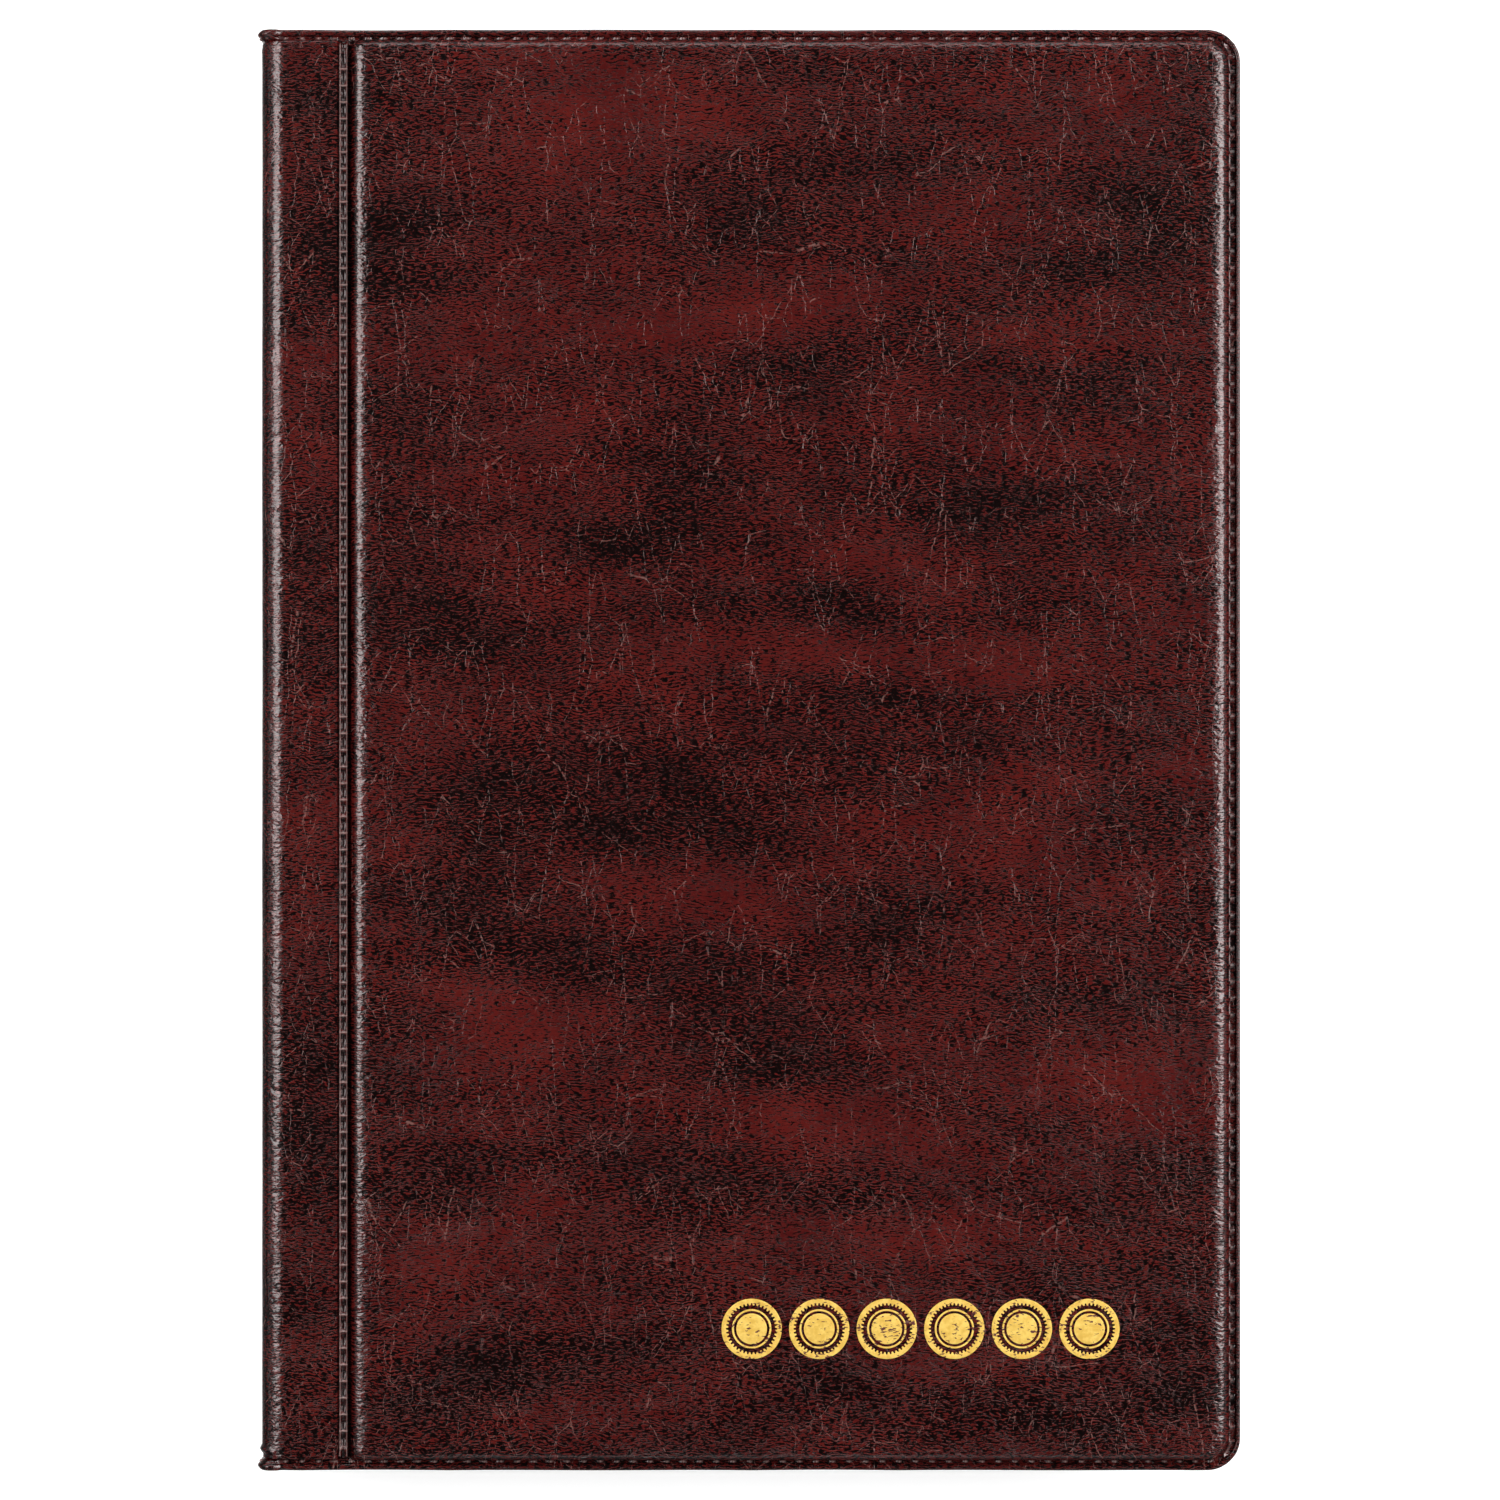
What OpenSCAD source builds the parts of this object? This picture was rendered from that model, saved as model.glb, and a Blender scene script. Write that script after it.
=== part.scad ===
/*
  Coin album, closed and lying on its back cover.

  A padded leatherette cover wraps a block of clear coin leaves. The cover is two padded
  panels and one thin spine band, joined along two welded hinge lines that look like ladders.
  Each leaf is a clear base film with six strips of coin pockets welded onto it. The leaves'
  binding edges are clamped between two inner flaps by three hidden screw posts.

  Millimetres. +X points from the spine to the fore edge, +Y to the head of the album, +Z up,
  out of the front cover. The origin is the middle of the footprint, on the surface under the
  back cover.
*/

/* [Cover] */
// Width of the closed album, from the spine to the fore edge
cover_w = 150; // [120:0.5:200]
// Height of the closed album, from tail to head
cover_h = 220.5; // [180:0.5:300]
// Radius of the four cover corners at the fore edge
corner_r = 5; // [2:0.5:12]
// Width of the flat welded rim around each cover panel
rim_w = 1.6; // [1:0.1:3]
// Radius of the rounded spine edges, on the outside
spine_r = 2.6; // [2:0.1:4]

/* [Cover layers] */
// Thickness of the leatherette skin
skin_t = 0.5; // [0.3:0.05:0.8]
// Thickness of the foam pad under the skin of a panel
pad_t = 0.8; // [0.5:0.1:2]
// Thickness of the greyboard in a panel
board_t = 1.5; // [1:0.1:2.5]
// Thickness of the card in the spine band
card_t = 1; // [0.6:0.1:1.4]
// Thickness of the lining film
lining_t = 0.3; // [0.2:0.05:0.5]
// Play left around a board, pad or card inside its welded pocket
pocket_play = 0.1; // [0.05:0.05:0.5]

/* [Hinge lines] */
// Width of a welded hinge line
weld_w = 1.8; // [1.2:0.1:3]
// Distance from one rung of a hinge line to the next
rung_pitch = 2.54; // [2:0.02:4]
// Length of one pressed cell between two rungs
cell_len = 1.9; // [1.2:0.1:2]
// Depth of a pressed cell
cell_depth = 0.2; // [0.1:0.05:0.3]
// Width of the flat shoulder on each side of the pressed cells
weld_edge = 0.4; // [0.2:0.05:0.5]
// Gap between two pieces that turn past each other
turn_gap = 0.2; // [0.1:0.05:0.5]

/* [Leaves] */
// Number of coin leaves
leaf_count = 12; // [4:1:12]
// Distance from one leaf to the next
leaf_pitch = 1.1; // [1:0.05:2]
// Thickness of the base film of a leaf
film_t = 0.2; // [0.1:0.05:0.3]
// Thickness of the film of a pocket
pocket_t = 0.15; // [0.1:0.05:0.3]
// Space inside an empty pocket
pocket_gap = 0.3; // [0.2:0.05:0.4]
// Rows of pockets on a leaf
pocket_rows = 6; // [2:1:8]
// Pockets in a row
pocket_cols = 3; // [1:1:5]
// Width of a weld seam between two pockets
seam_w = 1.4; // [1:0.1:3]
// Distance from the head and tail of the cover to the leaves
leaf_inset_y = 4.5; // [3:0.5:10]
// Distance from the fore edge of the cover to the leaves
leaf_inset_x = 5; // [3:0.5:12]
// Width of the plain flexing strip between the binding edge and the first pocket
flex_w = 5; // [3:0.5:10]

/* [Binding] */
// Number of screw posts
post_count = 3; // [2:1:4]
// Distance from one screw post to the next
post_pitch = 80; // [40:1:85]
// Diameter of a post's barrel
post_d = 5; // [4:0.1:6]
// Diameter of a post's head and of its screw's head
head_d = 8; // [6.4:0.1:10]
// Distance kept between a head and the edges of the strip that it clamps
head_edge = 0.55; // [0.3:0.05:2]
// Thickness of a post's head and of its screw's head
head_t = 1; // [0.8:0.1:1.4]
// Diameter of the screw inside a post
screw_d = 3; // [2:0.1:3.6]
// Width of the slot in a screw's head
slot_w = 1; // [0.6:0.1:1.5]
// Depth to which the screw reaches into its post
screw_reach = 8; // [4:0.5:10]
// Length of a post's bore left empty below the screw
bore_end = 1; // [0.5:0.1:2]
// Clearance on the diameter of a hole that a post or a screw goes through
hole_play = 0.2; // [0.1:0.05:0.6]
// Thickness of an inner hinge flap
flap_t = 0.6; // [0.4:0.1:1]
// Play between a head and the spine band behind it
head_play = 0.2; // [0.1:0.05:1]
// Play between the leaf block and the inside of the spine
spine_play = 0.3; // [0.1:0.05:1]

/* [Foil stamp] */
// Number of plain coin discs in the foil row on the front cover
stamp_count = 6; // [1:1:8]
// Diameter of a foil disc
stamp_d = 9.2; // [6:0.1:12]
// Width of a disc's rim, and of the bare ring inside it
stamp_line = 0.8; // [0.4:0.1:1]
// Distance from one foil disc to the next
stamp_pitch = 10.3; // [8:0.1:14]
// Distance from the middle of the foil row to the fore edge
stamp_from_fore = 49; // [40:0.5:60]
// Distance from the middle of the foil row to the tail
stamp_from_tail = 22; // [12:0.5:40]
// Depth to which the foil is pressed into the skin
stamp_depth = 0.2; // [0.1:0.05:0.25]

/* [Hidden] */
$fn = 64;
eps = 0.01;

// Layers of a panel and of the spine band, both flush on their lining side.
panel_t = lining_t + board_t + pad_t + skin_t;
band_t = lining_t + card_t + skin_t;
weld_t = lining_t + skin_t;

// The leaf block: binding edges and spacers, then a flap and a head's room on each side.
stack_t = (leaf_count - 1) * leaf_pitch + film_t;
post_len = stack_t + 2 * flap_t;
head_room = head_t + head_play;
cover_t = 2 * (panel_t + head_room) + post_len;
flap_z = panel_t + head_room;
stack_z = flap_z + flap_t;

// Places across the album, from the spine to the fore edge.
spine_x = -cover_w / 2;
fore_x = cover_w / 2;
block_x0 = spine_x + band_t + spine_play;
post_x = block_x0 + head_edge + head_d / 2;
foot_x = post_x + head_d / 2 + head_edge;
block_x1 = foot_x + flap_t;
weld_x0 = block_x1 + turn_gap;
weld_x1 = weld_x0 + weld_w;
panel_x0 = weld_x1 + turn_gap;

// Height of the padded part of the cover, inside the welded rims at head and tail.
pad_h = cover_h - 2 * rim_w;

// The leaves.
leaf_x0 = panel_x0;
leaf_x1 = fore_x - leaf_inset_x;
leaf_h = cover_h - 2 * leaf_inset_y;
pocket_x0 = leaf_x0 + flex_w;
pocket_area_h = leaf_h - seam_w;
row_pitch = pocket_area_h / pocket_rows;
col_pitch = (leaf_x1 - pocket_x0 - seam_w) / pocket_cols;
pocket_z = film_t + pocket_gap;

leatherette = "#5e1c20";
lining_colour = "#2b1416";
board_colour = "#9a958a";
foam_colour = "#e4e0d2";
clear_colour = [0.85, 0.9, 0.95, 0.35];
steel_colour = "#b9bcc0";
foil_colour = "#e8c155";

// A leaf's name, such as leaf_03_film.
function leaf_name(k, piece) = str("leaf_", k < 10 ? "0" : "", k, "_", piece);

LEAVES = [for (k = [1 : leaf_count]) each [
    leaf_name(k, "film"),
    leaf_name(k, "pockets"),
    leaf_name(k, "seams")
]];

// Outline of a panel from x0 to x1, square at the spine side and rounded at the fore edge.
module panel_outline(x0, x1, h, r) {
    translate([x0, -h / 2]) square([x1 - x0 - r, h]);
    translate([x0, r - h / 2]) square([x1 - x0, h - 2 * r]);
    for (side = [-1, 1]) translate([x1 - r, side * (h / 2 - r)]) circle(r);
}

// A flat layer with the outline of a panel, inset by a margin all round.
module panel_layer(x0, x1, h, r, z, t) {
    translate([0, 0, z]) linear_extrude(t) panel_outline(x0, x1, h, r);
}

// Turns a piece of the back cover into the same piece of the front cover.
module at_front() {
    translate([0, 0, cover_t]) mirror([0, 0, 1]) children();
}

// Puts something at each post's place.
module at_posts() {
    for (i = [0 : post_count - 1]) {
        translate([post_x, (i - (post_count - 1) / 2) * post_pitch, 0]) children();
    }
}

// The padded part of a panel, drawn in by a margin on every side.
module padded_layer(margin, z, t) {
    r = corner_r - rim_w - margin;
    panel_layer(panel_x0 + margin, fore_x - rim_w - margin, pad_h - 2 * margin, r, z, t);
}

// Pieces of the back cover, from its outer face (z = 0) inwards.
module panel_skin() {
    difference() {
        union() {
            panel_layer(panel_x0, fore_x, cover_h, corner_r, panel_t - weld_t, skin_t);
            padded_layer(0, 0, panel_t - lining_t);
        }
        padded_layer(skin_t, skin_t, panel_t);
    }
}

module panel_core(z, t) {
    padded_layer(skin_t + pocket_play, z, t);
}

module panel_lining() {
    panel_layer(panel_x0, fore_x, cover_h, corner_r, panel_t - lining_t, lining_t);
}

module back_skin() { color(leatherette) panel_skin(); }
module back_pad() { color(foam_colour) panel_core(skin_t, pad_t); }
module back_board() { color(board_colour) panel_core(skin_t + pad_t, board_t); }
module back_lining() { color(lining_colour) panel_lining(); }

module front_pad() { color(foam_colour) at_front() panel_core(skin_t, pad_t); }
module front_board() { color(board_colour) at_front() panel_core(skin_t + pad_t, board_t); }
module front_lining() { color(lining_colour) at_front() panel_lining(); }

// Row of plain coin discs, each a rim around a round centre.
module stamp_row(z, t) {
    x_mid = fore_x - stamp_from_fore;
    y_mid = stamp_from_tail - cover_h / 2;
    for (i = [0 : stamp_count - 1]) {
        translate([x_mid + (i - (stamp_count - 1) / 2) * stamp_pitch, y_mid, z]) {
            difference() {
                cylinder(d = stamp_d, h = t);
                translate([0, 0, -eps]) cylinder(d = stamp_d - 2 * stamp_line, h = t + 2 * eps);
            }
            cylinder(d = stamp_d - 4 * stamp_line, h = t);
        }
    }
}

module front_skin() {
    color(leatherette) difference() {
        at_front() panel_skin();
        stamp_row(cover_t - stamp_depth, stamp_depth + eps);
    }
}

module foil_stamp() {
    color(foil_colour) stamp_row(cover_t - stamp_depth, stamp_depth / 2);
}

// Filled outline of the spine band, drawn in by depth from its outer face and open to x1.
module band_outline(depth, x1) {
    z0 = panel_t - band_t + depth;
    z1 = cover_t - z0;
    r = spine_r - depth;
    x0 = spine_x + depth;
    translate([x0 + r, z0]) square([x1 - x0 - r, z1 - z0]);
    translate([x0, z0 + r]) square([x1 - x0, z1 - z0 - 2 * r]);
    for (z = [z0 + r, z1 - r]) translate([x0 + r, z]) circle(r);
}

// Layer of the spine band from y0 to y1: a strip, a round corner, the spine, a corner, a strip.
module band_layer(depth, t, x1, y0, y1) {
    translate([0, y1, 0]) rotate([90, 0, 0]) linear_extrude(y1 - y0) difference() {
        band_outline(depth, x1);
        band_outline(depth + t, x1 + 1);
    }
}

// The skin stands over the card, and steps down onto the lining at head and tail.
module spine_skin() {
    y_end = cover_h / 2;
    y_rim = pad_h / 2;
    color(leatherette) {
        band_layer(0, skin_t, weld_x0, -y_rim, y_rim);
        for (side = [-1, 1]) {
            y_wall = side * (y_rim - skin_t / 2);
            y_flat = side * (y_end + y_rim) / 2;
            band_layer(0, band_t - lining_t, weld_x0, y_wall - skin_t / 2, y_wall + skin_t / 2);
            band_layer(card_t, skin_t, weld_x0, y_flat - rim_w / 2, y_flat + rim_w / 2);
        }
    }
}

module spine_card() {
    y_card = pad_h / 2 - skin_t - pocket_play;
    color(board_colour) band_layer(skin_t, card_t, weld_x0, -y_card, y_card);
}

module spine_lining() {
    y_end = cover_h / 2;
    color(lining_colour) band_layer(skin_t + card_t, lining_t, weld_x0, -y_end, y_end);
}

// Welded hinge line of the back cover: skin and lining fused, with pressed cells between rungs.
module hinge_weld() {
    cells = floor(pad_h / rung_pitch);
    difference() {
        translate([weld_x0, -cover_h / 2, panel_t - weld_t]) cube([weld_w, cover_h, weld_t]);
        for (i = [0 : cells - 1]) {
            y_cell = (i - (cells - 1) / 2) * rung_pitch - cell_len / 2;
            translate([weld_x0 + weld_edge, y_cell, panel_t - weld_t - eps])
                cube([weld_w - 2 * weld_edge, cell_len, cell_depth + eps]);
        }
    }
}

module back_hinge_weld() { color(leatherette) hinge_weld(); }
module front_hinge_weld() { color(leatherette) at_front() hinge_weld(); }

// Inner flap: welded to the hinge line by its foot, and clamped under the screw heads.
module hinge_flap() {
    difference() {
        union() {
            translate([block_x0, -leaf_h / 2, flap_z]) cube([block_x1 - block_x0, leaf_h, flap_t]);
            translate([foot_x, -leaf_h / 2, panel_t]) cube([flap_t, leaf_h, head_room + flap_t]);
        }
        at_posts() cylinder(d = post_d + hole_play, h = cover_t);
    }
}

module back_hinge_flap() { color(lining_colour) hinge_flap(); }
module front_hinge_flap() { color(lining_colour) at_front() hinge_flap(); }

// Posts: a head under the back flap and a bored barrel through the block.
module binding_posts() {
    color(steel_colour) at_posts() difference() {
        union() {
            translate([0, 0, flap_z - head_t]) cylinder(d = head_d, h = head_t);
            translate([0, 0, flap_z]) cylinder(d = post_d, h = post_len);
        }
        translate([0, 0, flap_z + post_len - screw_reach - bore_end])
            cylinder(d = screw_d + hole_play, h = screw_reach + bore_end + eps);
    }
}

// Screws: slotted heads on the front flap, with shanks inside the posts.
module binding_screws() {
    color(steel_colour) at_posts() difference() {
        union() {
            translate([0, 0, flap_z + post_len]) cylinder(d = head_d, h = head_t);
            translate([0, 0, flap_z + post_len - screw_reach])
                cylinder(d = screw_d, h = screw_reach + head_t / 2);
        }
        translate([-head_d / 2, -slot_w / 2, flap_z + post_len + head_t / 2])
            cube([head_d, slot_w, head_t]);
    }
}

// A strip as long as the leaves, with holes for the posts.
module binding_strip(z, t) {
    difference() {
        translate([block_x0, -leaf_h / 2, z]) cube([block_x1 - block_x0, leaf_h, t]);
        at_posts() cylinder(d = post_d + hole_play, h = cover_t);
    }
}

module leaf_binding_edges() {
    color(clear_colour) for (k = [0 : leaf_count - 1]) {
        binding_strip(stack_z + k * leaf_pitch, film_t);
    }
}

module leaf_spacers() {
    color(lining_colour) for (k = [0 : leaf_count - 2]) {
        binding_strip(stack_z + k * leaf_pitch + film_t, leaf_pitch - film_t);
    }
}

// Leaf k, counted from the back cover.
function leaf_z(k) = stack_z + (k - 1) * leaf_pitch;

module leaf_film(k) {
    color(clear_colour) translate([leaf_x0, -leaf_h / 2, leaf_z(k)])
        cube([leaf_x1 - leaf_x0, leaf_h, film_t]);
}

// Pocket strips, one for each row, lifted off the film by the space inside a pocket.
module leaf_pockets(k) {
    color(clear_colour) for (row = [0 : pocket_rows - 1]) {
        translate([
            pocket_x0,
            row * row_pitch + seam_w / 2 - pocket_area_h / 2,
            leaf_z(k) + pocket_z
        ]) cube([leaf_x1 - pocket_x0, row_pitch - seam_w / 2, pocket_t]);
    }
}

// Weld seams: a bar under every row and four uprights, from the film up to the strips.
module leaf_seams(k) {
    color(clear_colour) translate([pocket_x0, -pocket_area_h / 2, leaf_z(k) + film_t]) {
        for (row = [0 : pocket_rows - 1]) {
            translate([0, row * row_pitch + seam_w / 2, 0])
                cube([leaf_x1 - pocket_x0, seam_w / 2, pocket_gap]);
        }
        for (col = [0 : pocket_cols]) for (row = [0 : pocket_rows - 1]) {
            translate([col * col_pitch, row * row_pitch + seam_w / 2, 0])
                cube([seam_w, row_pitch - seam_w / 2, pocket_gap]);
        }
    }
}

back_skin();
back_pad();
back_board();
back_lining();
spine_skin();
spine_card();
spine_lining();
back_hinge_weld();
front_hinge_weld();
back_hinge_flap();
front_hinge_flap();
binding_posts();
binding_screws();
leaf_spacers();
leaf_binding_edges();
front_lining();
front_board();
front_pad();
front_skin();
foil_stamp();
for (k = [1 : leaf_count]) {
    leaf_film(k);
    leaf_pockets(k);
    leaf_seams(k);
}
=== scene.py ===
import math

import bpy
import numpy as np
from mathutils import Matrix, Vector


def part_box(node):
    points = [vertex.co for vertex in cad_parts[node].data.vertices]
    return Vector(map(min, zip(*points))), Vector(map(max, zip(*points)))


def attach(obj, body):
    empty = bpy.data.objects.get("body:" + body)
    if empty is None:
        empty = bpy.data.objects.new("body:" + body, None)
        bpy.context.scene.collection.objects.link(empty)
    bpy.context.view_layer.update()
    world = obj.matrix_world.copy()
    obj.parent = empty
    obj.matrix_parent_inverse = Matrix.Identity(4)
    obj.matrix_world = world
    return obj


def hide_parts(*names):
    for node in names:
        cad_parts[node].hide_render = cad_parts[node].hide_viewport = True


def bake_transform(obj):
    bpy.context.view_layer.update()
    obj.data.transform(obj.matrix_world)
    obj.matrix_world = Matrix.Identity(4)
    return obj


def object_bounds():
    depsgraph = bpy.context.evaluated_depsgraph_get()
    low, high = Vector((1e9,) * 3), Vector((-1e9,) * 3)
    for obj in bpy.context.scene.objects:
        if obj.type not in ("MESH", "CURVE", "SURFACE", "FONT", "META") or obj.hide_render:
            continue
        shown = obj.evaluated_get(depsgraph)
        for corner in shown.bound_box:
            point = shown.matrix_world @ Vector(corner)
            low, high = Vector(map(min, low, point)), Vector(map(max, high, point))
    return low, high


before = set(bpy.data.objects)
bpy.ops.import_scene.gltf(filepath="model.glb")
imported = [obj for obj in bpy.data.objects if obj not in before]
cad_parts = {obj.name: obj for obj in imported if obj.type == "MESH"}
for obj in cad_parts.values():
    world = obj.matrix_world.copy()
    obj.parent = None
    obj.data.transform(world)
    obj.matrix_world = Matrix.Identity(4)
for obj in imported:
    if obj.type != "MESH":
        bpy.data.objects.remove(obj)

CAD_LO, CAD_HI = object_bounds()
PI = math.pi


def mm_box(node):
    lo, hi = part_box(node)
    return np.array(lo) * 1000, np.array(hi) * 1000


# Sizes in millimetres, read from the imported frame.
FORE_X = CAD_HI.x * 1000
SPINE_X = CAD_LO.x * 1000
HEAD_Y = CAD_HI.y * 1000
TOP_Z = CAD_HI.z * 1000
LINING_Z = mm_box("front_lining")[0][2]
BAND_T = mm_box("spine_skin")[1][2] - LINING_Z
PANEL_T = mm_box("front_skin")[1][2] - LINING_Z
STRIP_X = mm_box("front_hinge_weld")[0][0]
PANEL_X = mm_box("front_skin")[0][0]
HINGE_X = (STRIP_X + PANEL_X) / 2

# Sizes in millimetres that the frame doesn't give.
LADDER_X = HINGE_X - 0.17   # middle of the ladder pattern, a little toward the spine
SPINE_R = 2.6           # outer radius of the spine's edges in the CAD
ROUND_R = 4.0           # the wider radius that the padding gives them
CORNER_R = 5.0          # fore-edge corners
CORNER_BLOCK = 12.0     # square at each fore-edge corner whose grid is bent round it
PITCH = 2.54            # from one rung or rim dot to the next
SKIN_T = 0.5
LINING_T = 0.3
WELD_T = 0.5            # skin and lining fused together
CARD_T = 1.0
CARD_PLAY = 0.03        # between the card and the skin or lining
RIM_W = 1.6             # welded rim round each panel
SHOULDER_SIDE = 3.6     # width of a panel's rounded shoulder along the spine and fore edge
SHOULDER_END = 2.3      # and along head and tail

# Where the cover's inner face turns down the spine, and where the hinge line bends.
INNER_R = SPINE_R - BAND_T
TURN_X = SPINE_X + SPINE_R
ARC = INNER_R * PI / 2
SPINE_DROP = LINING_Z - INNER_R - TOP_Z / 2
BEND_START = STRIP_X - 0.2
BEND_END = PANEL_X + 0.2


# ---------------------------------------------------------------- mesh tools

def smoothstep(a, b, v):
    t = np.clip((v - a) / (b - a), 0, 1)
    return t * t * (3 - 2 * t)


def make_piece(name, points, faces, attributes=None, crease=38):
    """A smooth-shaded mesh from points in millimetres, with named values stored on its points."""
    mesh = bpy.data.meshes.new(name)
    mesh.from_pydata((np.asarray(points, float) / 1000).tolist(), [], faces)
    mesh.validate()
    for key, values in (attributes or {}).items():
        values = np.asarray(values, np.float32)
        kind = "FLOAT" if values.ndim == 1 else "FLOAT_VECTOR"
        field = "value" if values.ndim == 1 else "vector"
        mesh.attributes.new(key, kind, "POINT").data.foreach_set(field, values.ravel())
    mesh.polygons.foreach_set("use_smooth", [True] * len(mesh.polygons))
    mesh.set_sharp_from_angle(angle=math.radians(crease))
    mesh.update()
    obj = bpy.data.objects.new(name, mesh)
    bpy.context.scene.collection.objects.link(obj)
    return obj


def patchwork(blocks):
    """Points and faces of grids whose lines are numbered in one fine grid.

    A side shared with a finer grid takes that grid's points.
    """
    used = {(i, j) for cols, rows in blocks for i in cols for j in rows}
    faces = []
    for cols, rows in blocks:
        for a, b in zip(cols, cols[1:]):
            for c, d in zip(rows, rows[1:]):
                ring = [(i, c) for i in range(a, b) if (i, c) in used]
                ring += [(b, j) for j in range(c, d) if (b, j) in used]
                ring += [(i, d) for i in range(b, a, -1) if (i, d) in used]
                ring += [(a, j) for j in range(d, c, -1) if (a, j) in used]
                faces.append(ring)
    keys = sorted(used)
    number = {key: k for k, key in enumerate(keys)}
    return np.array(keys), [[number[key] for key in ring] for ring in faces]


def closed_sheet(outer, inner, faces, flip):
    """A closed sheet from two surfaces with the same faces, joined round their open edge."""
    n = len(outer)
    seen = {}
    for ring in faces:
        for a, b in zip(ring, ring[1:] + ring[:1]):
            seen[(a, b)] = True
    walls = [[b, a, a + n, b + n] for a, b in seen if (b, a) not in seen]
    whole = [list(ring) for ring in faces] + [[v + n for v in reversed(ring)] for ring in faces] + walls
    if flip:
        whole = [ring[::-1] for ring in whole]
    return np.vstack([outer, inner]), whole


def indices(master, wanted):
    """Places in the sorted list master of the nearest values to wanted."""
    found = np.searchsorted(master, np.asarray(wanted) - 1e-6)
    return sorted(set(int(i) for i in np.clip(found, 0, len(master) - 1)))


# ------------------------------------------------------- the cover's surfaces

def foot(u):
    """Point and outward normal of the cover's inner face. u is x on the flat part and runs on down the spine."""
    angle = np.clip((TURN_X - u) / INNER_R, 0, PI / 2)
    drop = np.maximum(TURN_X - ARC - u, 0)
    x = np.where(u >= TURN_X, u, TURN_X - INNER_R * np.sin(angle))
    z = LINING_Z - INNER_R * (1 - np.cos(angle)) - drop
    return x, z, -np.sin(angle), np.cos(angle), np.maximum(u, TURN_X) - SPINE_R * angle - drop


def round_corners(x, y):
    """Moves a square-cornered sheet onto the one with rounded fore-edge corners.

    The third result is 1 along the fore edge and 0 along head and tail, and runs between them round a corner.
    """
    a = x - (FORE_X - CORNER_BLOCK)
    b = np.abs(y) - (HEAD_Y - CORNER_BLOCK)
    m = np.maximum(np.maximum(a, b), 1e-9)
    inside = (a > 0) & (b > 0)
    share = np.where(b >= a, a, 2 * m - b) / (2 * m)
    r = np.maximum(CORNER_R - (CORNER_BLOCK - m), 0)
    straight = m - r
    q = share * (2 * straight + r * PI / 2)
    turn = np.clip((q - straight) / np.maximum(r, 1e-9), 0, PI / 2)
    past = np.maximum(q - straight - r * PI / 2, 0)
    na = np.where(q < straight, q, straight + r * np.sin(turn))
    nb = np.where(q < straight, m, straight + r * np.cos(turn) - past)
    x2 = np.where(inside, FORE_X - CORNER_BLOCK + na, x)
    y2 = np.where(inside, np.sign(y) * (HEAD_Y - CORNER_BLOCK + nb), y)
    fore = np.where(inside, smoothstep(0.35, 0.65, share), (a > b).astype(float))
    return x2, y2, fore


def rung(v, width):
    """1 at each step of the welding wheel's pitch, 0 between."""
    away = np.abs((v / PITCH + 0.5) % 1 - 0.5) * PITCH
    return np.exp(-(away / width) ** 2)


def panel_depth(x, y):
    """Depth inside the padded panel's outline, and the width of its rounded shoulder there."""
    x0, x1, y1 = PANEL_X + 0.05, FORE_X - 1.75, HEAD_Y - RIM_W
    cx = (x0 + x1) / 2
    r = np.where(x > cx, 3.4, 1.5)
    qx = np.abs(x - cx) - (x1 - x0) / 2 + r
    qy = np.abs(y) - y1 + r
    ox, oy = np.maximum(qx, 0), np.maximum(qy, 0)
    out = np.hypot(ox, oy) + np.minimum(np.maximum(qx, qy), 0) - r
    far = np.hypot(ox, oy) + 1e-9
    at_corner = (SHOULDER_SIDE * ox + SHOULDER_END * oy) / far
    wide = np.where(far > 1e-6, at_corner, np.where(qx > qy, SHOULDER_SIDE, SHOULDER_END))
    return -out, wide


def swell(u, y, seed):
    """Slow unevenness of the padding, within a tenth of a millimetre."""
    return 0.030 * (
        np.sin(u / 9.1 + 1.3 * np.sin(y / 17.0 + seed)) + np.sin(y / 11.3 + seed + 1.1 * np.sin(u / 14.0))
        + 0.6 * np.sin((u + 1.7 * y) / 5.3 + seed)
    )


def edge_sag(ud):
    """How far the spine's round edge, of radius ROUND_R, lies inside the tighter one the cover's inner face follows."""
    more = ROUND_R - SPINE_R
    angle = np.clip((TURN_X - ud) / INNER_R, 0, PI / 2)
    along = more * (np.sin(angle) + np.cos(angle))
    turned = SPINE_R + along - np.sqrt(along ** 2 + ROUND_R ** 2 - 2 * more ** 2)
    past = np.where(ud > TURN_X, ud - TURN_X, TURN_X - ARC - ud)
    flat = ROUND_R - np.sqrt(ROUND_R ** 2 - np.clip(more - past, 0, more) ** 2)
    return np.where((ud > TURN_X) | (ud < TURN_X - ARC), flat, turned)


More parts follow.
